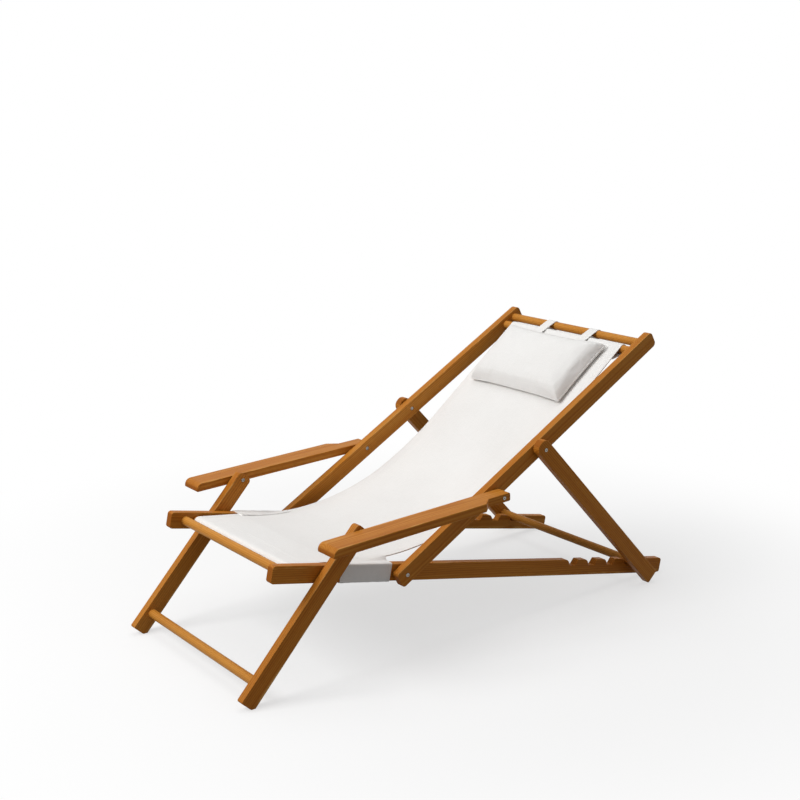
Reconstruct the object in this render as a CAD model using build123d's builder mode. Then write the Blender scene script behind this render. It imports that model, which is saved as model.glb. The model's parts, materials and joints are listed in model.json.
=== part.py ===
from build123d import *
import os
from math import acos, atan2, cos, degrees, hypot, radians, sin, tan

os.makedirs("parts", exist_ok=True)

# A folding sling lounge chair, in millimetres and degrees.
# +Z is up, the sitter faces -Y and the sitter's left hand is on +X. The origin is on the floor at the middle.
# Each side has three layers of bars: the base rail inside, then the leg and the back rail,
# and the arm and the prop strut outside.

# Timber stock
stock_thick = 24.0
stock_height = 48.0
edge_round = 1.6
layer_gap = 4.0

# Base rails, which slope down to the rear
rail_length = 1500.0
rail_slope = 12.0
rail_end_round = 9.0
heel_cut = 4.0

# Notches for the crossbar, counted from the rear, each with a long rounded lip in front
notch_count = 4
notch_pitch = 83.3
last_notch_from_heel = 155.0
bar_sink = 4.7
bar_gap = 0.3
notch_rear_lean = 62.0
notch_front_lean = 68.0
notch_floor_front = 17.0
notch_floor_round = 4.0
notch_rear_round = 3.5
notch_front_round = 18.0

# Back frame
back_pivot_at = 421.0
back_angle = 29.8
back_above_pivot = 1087.0
back_below_pivot = 29.0
back_top_round = 13.0
back_foot_round = 10.0

# Front legs
leg_cross_at = 169.0
leg_angle = 47.5
leg_pivot_drop = 14.0
leg_top_reach = 135.0
leg_top_margin = 16.0
leg_top_round = 12.0
leg_foot_round = 5.0
foot_cut = 7.0
stretcher_from_foot = 62.0

# Arms
arm_pivot_at = 345.0
arm_thick = 24.0
arm_width = 74.0
tongue_width = 48.0
arm_nose = 139.0
arm_tail = 22.0
shoulder_start = 88.0
shoulder_end = 58.0
arm_nose_round = 19.0
arm_under_round = 3.0
arm_tail_round = 5.0
arm_edge_round = 1.5
loop_play = 2.0

# Prop frame
prop_pivot_at = 551.0
prop_above_pivot = 30.0
prop_below_bar = 72.0
prop_top_round = 22.0
prop_foot_round = 6.0

# Round dowels
dowel_diameter = 26.0
tenon_depth = 14.0
glue_gap = 0.05
front_dowel_at = 48.0
seat_dowel_at = 86.0
top_dowel_at = 1054.0
sling_dowel_at = 1012.0

# Pivot bolts, nuts and spacer washers
bolt_diameter = 6.0
running_gap = 0.05
head_diameter = 11.0
head_height = 4.0
head_proud = 1.0
head_round = 1.0
pocket_diameter = 13.0
socket_width = 4.0
socket_depth = 2.0
nut_width = 10.0
nut_height = 5.0
nut_sunk = 1.0
leg_thread_depth = 16.0
arm_pin_depth = 20.0
drill_over = 1.0
spacer_diameter = 20.0
spacer_slack = 0.1

# Sling cloth, with a sleeve round each base rail
cloth = 2.0
cloth_gap = 0.3
sling_width = 492.0
sling_side_gap = 10.0
tab_cloth = 1.6
tab_front = 215.0
tab_rear = 382.0
tab_lip_reach = 20.0
tab_corner_round = 3.0
sling_bend_at = 250.0
sling_bend_radius = 760.0
sling_bend_angle = 37.0
sling_split_angle = 19.5
sling_split_gap = 0.3
sling_rise_at = 600.0
sling_rise_sag = 50.0

# Headrest pillow and its two strap loops
pillow_width = 420.0
pillow_length = 250.0
pillow_height = 62.0
pillow_from_dowel = 20.0
pillow_draw = 9.0
pillow_seat = 0.4
pillow_seam_share = 0.45
strap_width = 36.0
strap_cloth = 1.6
strap_spread = 95.0
strap_seat = 2.8
strap_root_share = 0.16
strap_sewn_length = 30.0

# Sizes that follow
half_height = stock_height / 2
dowel_radius = dowel_diameter / 2
seat_clear = sling_width + 2 * sling_side_gap
rail_in = seat_clear / 2
rail_out = rail_in + stock_thick
middle_in = rail_out + layer_gap
middle_out = middle_in + stock_thick
outer_in = middle_out + layer_gap
outer_out = outer_in + stock_thick
shank_hole = bolt_diameter + 2 * running_gap
tenon_hole = dowel_diameter + 2 * glue_gap
head_pocket_depth = head_height - head_proud + running_gap
nut_pocket_depth = nut_height + nut_sunk
hem_centre = dowel_radius + cloth_gap + cloth / 2
hem_outer = dowel_radius + cloth_gap + cloth
last_notch_at = rail_length - last_notch_from_heel
notch_seat = dowel_radius + bar_gap
notch_depth = bar_sink + notch_seat


def move(point, angle, along, across=0.0):
    """A point of the side view, moved along and across a direction."""
    turn = radians(angle)
    return (
        point[0] + along * cos(turn) - across * sin(turn),
        point[1] + along * sin(turn) + across * cos(turn),
    )


def heading(start, end):
    """The direction from one point of the side view to another."""
    return degrees(atan2(end[1] - start[1], end[0] - start[0]))


def distance(start, end):
    return hypot(end[0] - start[0], end[1] - start[1])


# The rails' heels and the feet stand on the floor, and the chair's length is centred on Y = 0.
rail_front_z = rail_length * sin(radians(rail_slope)) + half_height * cos(radians(rail_slope)) - heel_cut
leg_cross_z = rail_front_z - leg_cross_at * sin(radians(rail_slope))
foot_reach = (leg_cross_z - half_height * cos(radians(leg_angle)) + foot_cut) / sin(radians(leg_angle))
foot_corner = move((0, 0), leg_angle, leg_foot_round - foot_reach, half_height - leg_foot_round)
front_extent = leg_cross_at * cos(radians(rail_slope)) + foot_corner[0] - leg_foot_round
rear_corner = move((0, 0), -rail_slope, rail_length - rail_end_round, half_height - rail_end_round)
rear_extent = rear_corner[0] + rail_end_round
rail_front = (-(front_extent + rear_extent) / 2, rail_front_z)


def rail_point(along, across=0.0):
    """A point of the side view, measured along the base rail from its front end and up from its axis."""
    return move(rail_front, -rail_slope, along, across)


back_pivot = rail_point(back_pivot_at)


def back_point(along, across=0.0):
    """A point of the side view, measured up the back rail from its pivot and forward from its axis."""
    return move(back_pivot, back_angle, along, across)


leg_cross = rail_point(leg_cross_at)
leg_pivot = move(leg_cross, leg_angle, -leg_pivot_drop)
arm_front_pivot = move(leg_cross, leg_angle, leg_top_reach)
arm_rear_pivot = back_point(arm_pivot_at)
arm_angle = heading(arm_front_pivot, arm_rear_pivot)
arm_span = distance(arm_front_pivot, arm_rear_pivot)
prop_pivot = back_point(prop_pivot_at)
bar_seat = rail_point(last_notch_at, half_height - bar_sink)
prop_angle = heading(prop_pivot, bar_seat)
prop_reach = distance(prop_pivot, bar_seat)
front_dowel_centre = rail_point(front_dowel_at)
seat_dowel_centre = rail_point(seat_dowel_at)
top_dowel_centre = back_point(top_dowel_at)
sling_dowel_centre = back_point(sling_dowel_at)
stretcher_centre = move(leg_cross, leg_angle, stretcher_from_foot - foot_reach)

joint_axes = {
    "back_fold": back_pivot,
    "leg_fold": leg_pivot,
    "arm_fold": arm_rear_pivot,
    "prop_fold": prop_pivot,
    "pillow_flip": top_dowel_centre,
    "open arm pivot": arm_front_pivot,
    "crossbar": bar_seat,
}
for axis_name, axis_point in joint_axes.items():
    print(f"{axis_name}: y {axis_point[0]:.3f}, z {axis_point[1]:.3f}")


def side_plane(x, point, angle):
    """A plane that faces +X, with its own x axis along a bar of the side view."""
    turn = radians(angle)
    return Plane(origin=(x, point[0], point[1]), x_dir=(0, cos(turn), sin(turn)), z_dir=(1, 0, 0))


def bar_outline(x, point, angle, start, end, start_round, end_round):
    """The side view of a bar that runs from start to end past a point on its axis."""
    with BuildSketch(side_plane(x, point, angle)) as outline:
        with Locations(((start + end) / 2, 0)):
            Rectangle(end - start, stock_height)
        fillet(outline.vertices().group_by(Axis.X)[0], start_round)
        fillet(outline.vertices().group_by(Axis.X)[-1], end_round)
    return outline.sketch


def disc(x, point, diameter):
    """A round face at x, for a hole, a dowel or a bolt along X."""
    with BuildSketch(Plane.YZ.offset(x)) as face:
        with Locations(point):
            Circle(diameter / 2)
    return face.sketch


def hexagon(x, point, width):
    """A hexagonal face at x, measured across its flats."""
    with BuildSketch(Plane.YZ.offset(x)) as face:
        with Locations(point):
            RegularPolygon(width / 2, 6, major_radius=False)
    return face.sketch


def save(builder, name):
    builder.part.label = name
    export_step(builder.part, f"parts/{name}.step")


def save_pair(left, name):
    """Write a left-hand piece, and its mirror image for the right."""
    save(left, f"{name}_left")
    with BuildPart() as right:
        mirror(left.part, about=Plane.YZ)
    save(right, f"{name}_right")


def ease_broad_edges(radius):
    """Round the edges of a bar's two broad faces."""
    fillet(faces().filter_by(Axis.X).edges(), radius)


def notch_corners(outline, place, level):
    """The corners that one notch has at a level of the rail, from front to rear."""
    half_pitch = notch_pitch / 2
    near = outline.vertices().filter_by_position(Axis.X, place - half_pitch, place + half_pitch)
    return near.filter_by_position(Axis.Y, level - 1, level + 1).sort_by(Axis.X)


# Base rail: four notches, the back and leg pivots, and the sockets of the two front dowels
with BuildPart() as base_rail:
    rear_lean = radians(notch_rear_lean)
    notch_rear_floor = notch_seat * (1 - cos(rear_lean)) / sin(rear_lean)
    notch_rear_mouth = (notch_seat + bar_sink * cos(rear_lean)) / sin(rear_lean)
    notch_front_mouth = notch_floor_front + notch_depth / tan(radians(notch_front_lean))
    with BuildSketch(side_plane(rail_in, rail_front, -rail_slope)) as rail_outline:
        with Locations((rail_length / 2, 0)):
            Rectangle(rail_length, stock_height)
        fillet(rail_outline.vertices(), rail_end_round)
        notch_places = [(last_notch_at - notch_pitch * i, half_height) for i in range(notch_count)]
        with Locations(*notch_places):
            Polygon(
                (-notch_front_mouth, stock_height),
                (-notch_front_mouth, 0),
                (-notch_floor_front, -notch_depth),
                (notch_rear_floor, -notch_depth),
                (notch_rear_mouth, 0),
                (notch_rear_mouth, stock_height),
                align=None,
                mode=Mode.SUBTRACT,
            )
        for place, _ in notch_places:
            fillet(notch_corners(rail_outline, place, half_height - notch_depth), notch_floor_round)
            fillet(notch_corners(rail_outline, place, half_height)[-1], notch_rear_round)
            fillet(notch_corners(rail_outline, place, half_height)[0], notch_front_round)
    extrude(amount=stock_thick)
    ease_broad_edges(edge_round)
    split(bisect_by=Plane.XY, keep=Keep.TOP)
    for pivot in (back_pivot, leg_pivot):
        extrude(disc(rail_in, pivot, shank_hole), amount=stock_thick, mode=Mode.SUBTRACT)
    extrude(disc(rail_in, back_pivot, pocket_diameter), amount=nut_pocket_depth, mode=Mode.SUBTRACT)
    extrude(disc(rail_in, leg_pivot, pocket_diameter), amount=head_pocket_depth, mode=Mode.SUBTRACT)
    for centre in (front_dowel_centre, seat_dowel_centre):
        extrude(disc(rail_in, centre, tenon_hole), amount=tenon_depth + glue_gap, mode=Mode.SUBTRACT)
save_pair(base_rail, "base_rail")

# Front leg: pivot socket, arm bolt at the rounded top, stretcher socket, foot cut flat on the floor
with BuildPart() as leg:
    leg_top = leg_top_reach + leg_top_margin
    extrude(
        bar_outline(middle_in, leg_cross, leg_angle, -foot_reach, leg_top, leg_foot_round, leg_top_round),
        amount=stock_thick,
    )
    ease_broad_edges(edge_round)
    split(bisect_by=Plane.XY, keep=Keep.TOP)
    extrude(disc(middle_in, leg_pivot, shank_hole), amount=leg_thread_depth + drill_over, mode=Mode.SUBTRACT)
    extrude(disc(middle_in, arm_front_pivot, shank_hole), amount=stock_thick, mode=Mode.SUBTRACT)
    extrude(disc(middle_in, arm_front_pivot, pocket_diameter), amount=head_pocket_depth, mode=Mode.SUBTRACT)
    extrude(disc(middle_in, stretcher_centre, tenon_hole), amount=tenon_depth + glue_gap, mode=Mode.SUBTRACT)
save_pair(leg, "leg")

# Back rail: base pivot at the foot, arm and strut pivots with sunk nuts, sockets of the two upper dowels
with BuildPart() as back_rail:
    extrude(
        bar_outline(
            middle_in,
            back_pivot,
            back_angle,
            -back_below_pivot,
            back_above_pivot,
            back_foot_round,
            back_top_round,
        ),
        amount=stock_thick,
    )
    ease_broad_edges(edge_round)
    for pivot in (back_pivot, arm_rear_pivot, prop_pivot):
        extrude(disc(middle_in, pivot, shank_hole), amount=stock_thick, mode=Mode.SUBTRACT)
    extrude(disc(middle_out, back_pivot, pocket_diameter), amount=-head_pocket_depth, mode=Mode.SUBTRACT)
    for pivot in (arm_rear_pivot, prop_pivot):
        extrude(disc(middle_in, pivot, pocket_diameter), amount=nut_pocket_depth, mode=Mode.SUBTRACT)
    for centre in (top_dowel_centre, sling_dowel_centre):
        extrude(disc(middle_in, centre, tenon_hole), amount=tenon_depth + glue_gap, mode=Mode.SUBTRACT)
save_pair(back_rail, "back_rail")

# Arm: a wide front, rounded over at the top of its nose, and a shoulder that slants in to the narrow rear tongue
with BuildPart() as arm:
    with BuildSketch(side_plane(outer_in, arm_front_pivot, arm_angle)) as arm_outline:
        with Locations(((arm_span + arm_tail - arm_nose) / 2, 0)):
            Rectangle(arm_nose + arm_span + arm_tail, arm_thick)
        fillet(arm_outline.vertices().group_by(Axis.X)[-1], arm_tail_round)
        fillet(arm_outline.vertices().group_by(Axis.X)[0].sort_by(Axis.Y)[-1], arm_nose_round)
        fillet(arm_outline.vertices().group_by(Axis.X)[0].sort_by(Axis.Y)[0], arm_under_round)
    extrude(amount=arm_width)
    turn = radians(arm_angle)
    arm_top = move(arm_front_pivot, arm_angle, 0, arm_thick)
    arm_plan = Plane(
        origin=(0, arm_top[0], arm_top[1]),
        x_dir=(0, cos(turn), sin(turn)),
        z_dir=(0, sin(turn), -cos(turn)),
    )
    arm_end = arm_span + arm_tail + arm_thick
    with BuildSketch(arm_plan):
        Polygon(
            (arm_span - shoulder_start, outer_in + arm_width),
            (arm_span - shoulder_end, outer_in + tongue_width),
            (arm_end, outer_in + tongue_width),
            (arm_end, outer_in + 2 * arm_width),
            (arm_span - shoulder_start, outer_in + 2 * arm_width),
            align=None,
        )
    extrude(amount=2 * arm_thick, mode=Mode.SUBTRACT)
    sides = faces().filter_by(GeomType.PLANE).filter_by(lambda face: abs(face.normal_at().X) > 0.3)
    fillet(sides.edges(), arm_edge_round)
    pin_hole = shank_hole + 2 * loop_play
    extrude(disc(outer_in, arm_front_pivot, pin_hole), amount=arm_pin_depth + drill_over, mode=Mode.SUBTRACT)
    extrude(disc(outer_in, arm_rear_pivot, shank_hole), amount=tongue_width, mode=Mode.SUBTRACT)
    tongue_face = disc(outer_in + tongue_width, arm_rear_pivot, pocket_diameter)
    extrude(tongue_face, amount=-head_pocket_depth, mode=Mode.SUBTRACT)
save_pair(arm, "arm")

# Prop strut: pivot near its rounded top, crossbar socket near its foot
with BuildPart() as prop_strut:
    extrude(
        bar_outline(
            outer_in,
            prop_pivot,
            prop_angle,
            -prop_above_pivot,
            prop_reach + prop_below_bar,
            prop_top_round,
            prop_foot_round,
        ),
        amount=stock_thick,
    )
    ease_broad_edges(edge_round)
    extrude(disc(outer_in, prop_pivot, shank_hole), amount=stock_thick, mode=Mode.SUBTRACT)
    extrude(disc(outer_out, prop_pivot, pocket_diameter), amount=-head_pocket_depth, mode=Mode.SUBTRACT)
    extrude(disc(outer_in, bar_seat, tenon_hole), amount=tenon_depth + glue_gap, mode=Mode.SUBTRACT)
save_pair(prop_strut, "prop_strut")

# Round dowels, each with a tenon in the bar at either end
dowels = {
    "front_dowel": (rail_in, front_dowel_centre),
    "front_sling_dowel": (rail_in, seat_dowel_centre),
    "leg_stretcher": (middle_in, stretcher_centre),
    "top_dowel": (middle_in, top_dowel_centre),
    "sling_top_dowel": (middle_in, sling_dowel_centre),
    "prop_crossbar": (outer_in, bar_seat),
}
for dowel_name, (bar_face, centre) in dowels.items():
    half_length = bar_face + tenon_depth
    with BuildPart() as dowel:
        extrude(disc(-half_length, centre, dowel_diameter), amount=2 * half_length)
    save(dowel, dowel_name)


def add_bolt(head_face, point, tip):
    """A bolt with a hexagon socket in its head, from the outer face of its head to the tip of its shank."""
    inward = 1 if tip > head_face else -1
    extrude(disc(head_face, point, head_diameter), amount=inward * head_height)
    rim = edges().filter_by(GeomType.CIRCLE).filter_by_position(Axis.X, head_face - 0.1, head_face + 0.1)
    fillet(rim, head_round)
    extrude(disc(head_face, point, bolt_diameter), amount=tip - head_face)
    extrude(hexagon(head_face, point, socket_width), amount=inward * socket_depth, mode=Mode.SUBTRACT)


bolts = {
    "back_pivot_bolts": (middle_out + head_proud, back_pivot, rail_in + nut_sunk),
    "leg_pivot_bolts": (rail_in - head_proud, leg_pivot, middle_in + leg_thread_depth),
    "arm_front_bolts": (middle_in - head_proud, arm_front_pivot, outer_in + arm_pin_depth),
    "arm_rear_bolts": (outer_in + tongue_width + head_proud, arm_rear_pivot, middle_in + nut_sunk),
    "prop_pivot_bolts": (outer_out + head_proud, prop_pivot, middle_in + nut_sunk),
}
for bolt_name, (head_face, point, tip) in bolts.items():
    with BuildPart() as bolt_pair:
        add_bolt(head_face, point, tip)
        mirror(about=Plane.YZ)
    save(bolt_pair, bolt_name)

nuts = {
    "back_pivot_nuts": (rail_in + nut_sunk, back_pivot),
    "arm_rear_nuts": (middle_in + nut_sunk, arm_rear_pivot),
    "prop_pivot_nuts": (middle_in + nut_sunk, prop_pivot),
}
for nut_name, (nut_face, point) in nuts.items():
    with BuildPart() as nut_pair:
        extrude(hexagon(nut_face, point, nut_width), amount=nut_height)
        extrude(disc(nut_face, point, shank_hole), amount=nut_height, mode=Mode.SUBTRACT)
        mirror(about=Plane.YZ)
    save(nut_pair, nut_name)

# Spacer washers in the gaps between the layers of bars
spacers = {
    "base_spacers": (rail_out, (back_pivot, leg_pivot)),
    "leg_spacers": (middle_out, (arm_front_pivot,)),
    "back_spacers": (middle_out, (arm_rear_pivot, prop_pivot)),
}
for spacer_name, (bar_face, points) in spacers.items():
    with BuildPart() as spacer_set:
        for point in points:
            washer = disc(bar_face + spacer_slack, point, spacer_diameter)
            extrude(washer, amount=layer_gap - 2 * spacer_slack)
            extrude(disc(bar_face, point, shank_hole), amount=layer_gap, mode=Mode.SUBTRACT)
        mirror(about=Plane.YZ)
    save(spacer_set, spacer_name)

# Sling: hemmed round the front sling dowel, carried on the rails by its sleeves, bending up into the back
seat_level = half_height - cloth / 2
hem_front = rail_point(seat_dowel_at, hem_centre)
seat_front = rail_point(tab_front, seat_level)
seat_bend = rail_point(sling_bend_at, seat_level)
seat_turn = radians(-rail_slope)
with BuildPart() as sling_seat:
    with BuildSketch(Plane.YZ.offset(-sling_width / 2)):
        with BuildLine():
            Polyline(hem_front, seat_front, seat_bend)
            seat_arc = JernArc(
                seat_bend,
                (cos(seat_turn), sin(seat_turn)),
                sling_bend_radius,
                sling_split_angle,
            )
        trace(line_width=cloth)
        with Locations(seat_dowel_centre):
            Circle(hem_outer)
            Circle(hem_outer - cloth, mode=Mode.SUBTRACT)
    extrude(amount=sling_width)
save(sling_seat, "sling_seat")

split_heading = sling_split_angle - rail_slope
split_point = ((seat_arc @ 1).X, (seat_arc @ 1).Y)
back_start = move(split_point, split_heading, sling_split_gap)
split_turn = radians(split_heading)
sling_rise = back_point(sling_rise_at, -sling_rise_sag)
hem_top = back_point(sling_dowel_at, hem_centre)
with BuildPart() as sling_back:
    with BuildSketch(Plane.YZ.offset(-sling_width / 2)):
        with BuildLine():
            low_arc = JernArc(
                back_start,
                (cos(split_turn), sin(split_turn)),
                sling_bend_radius,
                sling_bend_angle - sling_split_angle,
            )
            high_arc = TangentArc(low_arc @ 1, sling_rise, tangent=low_arc % 1)
            Line(high_arc @ 1, hem_top)
        trace(line_width=cloth)
        with Locations(sling_dowel_centre):
            Circle(hem_outer)
            Circle(hem_outer - cloth, mode=Mode.SUBTRACT)
    extrude(amount=sling_width)
save(sling_back, "sling_back")

# Side tab: a sleeve round the base rail, with a lip that is sewn over the sling's edge
tab_rear_point = rail_point(tab_rear)
tab_plane = Plane(
    origin=(0, tab_rear_point[0], tab_rear_point[1]),
    x_dir=(1, 0, 0),
    z_dir=(0, -cos(seat_turn), -sin(seat_turn)),
)
with BuildPart() as sling_tab:
    with BuildSketch(tab_plane):
        with Locations(((rail_in + rail_out) / 2, 0)):
            grown = 2 * (cloth_gap + tab_cloth)
            RectangleRounded(stock_thick + grown, stock_height + grown, tab_corner_round)
            inner_round = tab_corner_round - tab_cloth
            inner = 2 * cloth_gap
            RectangleRounded(stock_thick + inner, stock_height + inner, inner_round, mode=Mode.SUBTRACT)
    extrude(amount=tab_rear - tab_front)
    lip_inner = sling_width / 2 - tab_lip_reach / 2
    lip_outer = rail_in + tab_corner_round
    with BuildSketch(tab_plane.offset(tab_rear - sling_bend_at)):
        with Locations(((lip_inner + lip_outer) / 2, half_height + cloth_gap + tab_cloth / 2)):
            Rectangle(lip_outer - lip_inner, tab_cloth)
    extrude(amount=sling_bend_at - tab_front)
save_pair(sling_tab, "sling_tab")

# Pillow: lies on the sling's upper straight, with a crown and with its sides drawn in between the corners
pillow_heading = heading(sling_rise, hem_top)
pillow_top = move(hem_top, pillow_heading, -pillow_from_dowel, cloth / 2 + pillow_seat)
pillow_middle = move(pillow_top, pillow_heading, -pillow_length / 2)
pillow_turn = radians(pillow_heading)
pillow_plane = Plane(
    origin=(0, pillow_middle[0], pillow_middle[1]),
    x_dir=(1, 0, 0),
    z_dir=(0, -sin(pillow_turn), cos(pillow_turn)),
)
# Each level of the pillow is a share of its height and how far its outline draws in there.
pillow_levels = [
    (0.0, 24.0),
    (0.1, 11.0),
    (0.25, 3.0),
    (pillow_seam_share, 0.0),
    (0.68, 9.0),
    (0.86, 32.0),
    (0.96, 66.0),
    (1.0, 104.0),
]


def pillow_section(height_share, inset):
    """A level section of the pillow: four corners, joined by shallow arcs that draw in."""
    half_width = pillow_width / 2 - inset
    half_length = pillow_length / 2 - inset
    with BuildSketch(pillow_plane.offset(pillow_height * height_share)) as section:
        with BuildLine():
            for side in (1, -1):
                start = (side * half_width, -side * half_length)
                corner = (side * half_width, side * half_length)
                end = (-side * half_width, side * half_length)
                ThreePointArc(start, (side * (half_width - pillow_draw), 0), corner)
                ThreePointArc(corner, (0, side * (half_length - pillow_draw)), end)
        make_face()
    return section.sketch


with BuildPart() as pillow:
    loft([pillow_section(share, inset) for share, inset in pillow_levels])
save(pillow, "pillow")

# Strap: a tape from the low upper edge of the pillow, round the top dowel and back between the dowels to itself
strap_radius = dowel_radius + cloth_gap + strap_cloth / 2


def strap_tangent(point, side):
    """Where a tape from a point first meets its path round the top dowel, above it or below it."""
    swing = degrees(acos(strap_radius / distance(top_dowel_centre, point)))
    return move(top_dowel_centre, heading(top_dowel_centre, point) + side * swing, strap_radius)


def pillow_inset(height_share):
    """How far the pillow's outline draws in at a share of its height, between two of its levels."""
    for (low, low_inset), (high, high_inset) in zip(pillow_levels, pillow_levels[1:]):
        if low <= height_share <= high:
            return low_inset + (high_inset - low_inset) * (height_share - low) / (high - low)


edge_draw = pillow_draw * (1 - (2 * strap_spread / pillow_width) ** 2)
strap_root = move(
    pillow_top,
    pillow_heading,
    strap_seat - edge_draw - pillow_inset(strap_root_share),
    pillow_height * strap_root_share,
)
upper = strap_tangent(strap_root, -1)
sewn = move(upper, heading(upper, strap_root), strap_sewn_length)
lower = strap_tangent(sewn, 1)
far = move(top_dowel_centre, heading(sewn, top_dowel_centre), strap_radius)
with BuildPart() as pillow_strap:
    strap_plane = Plane.YZ.offset(strap_spread - strap_width / 2)
    with BuildSketch(strap_plane):
        with BuildLine():
            Line(strap_root, upper)
            ThreePointArc(upper, far, lower)
        trace(line_width=strap_cloth)
    extrude(amount=strap_width)
    with BuildSketch(strap_plane):
        with BuildLine():
            Line(lower, sewn)
        trace(line_width=strap_cloth)
    extrude(amount=strap_width)
save_pair(pillow_strap, "pillow_strap")
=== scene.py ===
import json
import math
import bpy
import numpy as np
from mathutils import Matrix, Vector, noise


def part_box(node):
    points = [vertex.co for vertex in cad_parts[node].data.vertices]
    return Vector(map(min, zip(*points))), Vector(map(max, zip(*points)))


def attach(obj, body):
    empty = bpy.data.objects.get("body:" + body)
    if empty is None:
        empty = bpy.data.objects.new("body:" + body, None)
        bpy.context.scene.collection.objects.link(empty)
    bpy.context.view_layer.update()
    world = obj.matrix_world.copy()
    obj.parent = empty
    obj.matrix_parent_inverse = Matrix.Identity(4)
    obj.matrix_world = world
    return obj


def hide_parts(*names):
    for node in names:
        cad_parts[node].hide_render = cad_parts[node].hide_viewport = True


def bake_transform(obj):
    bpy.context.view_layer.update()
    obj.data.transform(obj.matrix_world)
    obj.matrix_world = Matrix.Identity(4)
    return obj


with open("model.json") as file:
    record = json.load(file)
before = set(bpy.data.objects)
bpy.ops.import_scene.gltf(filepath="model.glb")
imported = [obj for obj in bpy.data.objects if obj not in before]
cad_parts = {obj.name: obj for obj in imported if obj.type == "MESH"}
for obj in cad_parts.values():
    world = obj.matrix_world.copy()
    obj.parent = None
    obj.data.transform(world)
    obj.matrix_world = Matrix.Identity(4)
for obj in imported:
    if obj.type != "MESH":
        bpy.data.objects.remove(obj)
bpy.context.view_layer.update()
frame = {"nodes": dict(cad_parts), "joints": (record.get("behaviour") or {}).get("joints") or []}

nodes = frame["nodes"]
pivots = {joint["name"]: Vector(joint["pos_m"]) for joint in frame["joints"]}
print("frame loaded:", len(nodes), "nodes")


# the side view, as points (y, z) in metres

sideView = {
    "railSlope": -12.0,         # the base rails fall to the rear
    "backAngle": 29.8,
    "hingeAlongRail": 0.421,    # from the rail's front end to the back hinge
    "railHalfHeight": 0.024,
    "railHalfThick": 0.012,
    "railMiddle": 0.268,        # X of a base rail's middle
}
hinge = pivots["back_fold"].yz
sides = {"left": 1, "right": -1}    # with the sign of X there


def turned(angle, along, across=0.0):
    a = math.radians(angle)
    return Vector((along * math.cos(a) - across * math.sin(a), along * math.sin(a) + across * math.cos(a)))


def railPoint(along, up=0.0):   # along from the rail's front end, up from its axis
    return hinge + turned(sideView["railSlope"], along - sideView["hingeAlongRail"], up)


def backPoint(along, up=0.0):   # along the back rail from its hinge, up towards the sitter
    return hinge + turned(sideView["backAngle"], along, up)


def middleOf(node):
    low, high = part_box(node)
    return (low + high) / 2


# shader maths on sockets

class Field:
    def __init__(self, finish, socket):
        self.finish = finish
        self.socket = socket

    def calc(self, operation, first, second):
        return self.finish.node("ShaderNodeMath", {"operation": operation}, [first, second])

    def __add__(self, other):
        return self.calc("ADD", self, other)

    def __sub__(self, other):
        return self.calc("SUBTRACT", self, other)

    def __rsub__(self, other):
        return self.calc("SUBTRACT", other, self)

    def __mul__(self, other):
        return self.calc("MULTIPLY", self, other)

    def __truediv__(self, other):
        return self.calc("DIVIDE", self, other)

    def __rtruediv__(self, other):
        return self.calc("DIVIDE", other, self)

    def __pow__(self, other):
        return self.calc("POWER", self, other)

    def __rpow__(self, other):
        return self.calc("POWER", other, self)

    __radd__ = __add__
    __rmul__ = __mul__


class Finish:
    def __init__(self, name, library="materials", shader="Principled BSDF"):
        self.material = getattr(bpy.data, library).new(name)
        self.material.use_nodes = True
        self.tree = self.material.node_tree
        self.shader = self.tree.nodes[shader]

    def node(self, kind, settings=None, inputs=None, output=0):
        made = self.tree.nodes.new(kind)
        for key, value in (settings or {}).items():
            if key == "stops":
                ramp = made.color_ramp.elements
                while len(ramp) < len(value):
                    ramp.new(0.5)
                for element, (place, colour) in zip(ramp, value):
                    element.position = place
                    element.color = (*colour, 1)
            else:
                setattr(made, key, value)
        pairs = inputs.items() if isinstance(inputs, dict) else enumerate(inputs or [])
        for key, value in pairs:
            self.feed(made.inputs[key], value)
        return Field(self, made.outputs[output])

    def feed(self, socket, value):
        if isinstance(value, Field):
            self.tree.links.new(value.socket, socket)
        elif isinstance(value, (tuple, list)) and socket.type == "RGBA":
            socket.default_value = (*value, 1)
        else:
            socket.default_value = value

    def coords(self, output="Object"):
        return self.node("ShaderNodeTexCoord", output=output)

    def dot(self, vector, direction):
        return self.node("ShaderNodeVectorMath", {"operation": "DOT_PRODUCT"}, [vector, direction], "Value")

    def vector(self, x, y, z):
        return self.node("ShaderNodeCombineXYZ", None, [x, y, z])

    def sine(self, value):
        return self.node("ShaderNodeMath", {"operation": "SINE"}, [value])

    def size(self, value):
        return self.node("ShaderNodeMath", {"operation": "ABSOLUTE"}, [value])

    def clouds(self, vector, scale=1.0, detail=2.0, rough=0.5):
        values = {"Vector": vector, "Scale": scale, "Detail": detail, "Roughness": rough}
        return self.node("ShaderNodeTexNoise", None, values)

    def band(self, value, low, high):
        settings = {"interpolation_type": "SMOOTHSTEP"}
        return self.node("ShaderNodeMapRange", settings, {"Value": value, "From Min": low, "From Max": high})

    def blendColours(self, share, first, second):   # by number, as a Mix node has its colours at 6, 7 and 2
        return self.node("ShaderNodeMix", {"data_type": "RGBA"}, {0: share, 6: first, 7: second}, 2)

    def ramp(self, value, stops):
        return self.node("ShaderNodeValToRGB", {"stops": stops}, [value])

    def bump(self, height, strength, depth):
        values = {"Height": height, "Strength": strength, "Distance": depth}
        return self.node("ShaderNodeBump", None, values)

    def seen(self):     # 1 where the camera, a mirror or a clear surface looks, 0 where light bounces
        rays = [self.node("ShaderNodeLightPath", output=ray)
                for ray in ("Is Camera Ray", "Is Glossy Ray", "Is Transmission Ray")]
        return self.node("ShaderNodeClamp", None, [rays[0] + rays[1] + rays[2], 0.0, 1.0])

    def wear(self, **values):
        for key, value in values.items():
            self.feed(self.shader.inputs[key.replace("_", " ")], value)
        return self.material


# oiled hardwood, one material a bar so that the grain follows it

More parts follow.
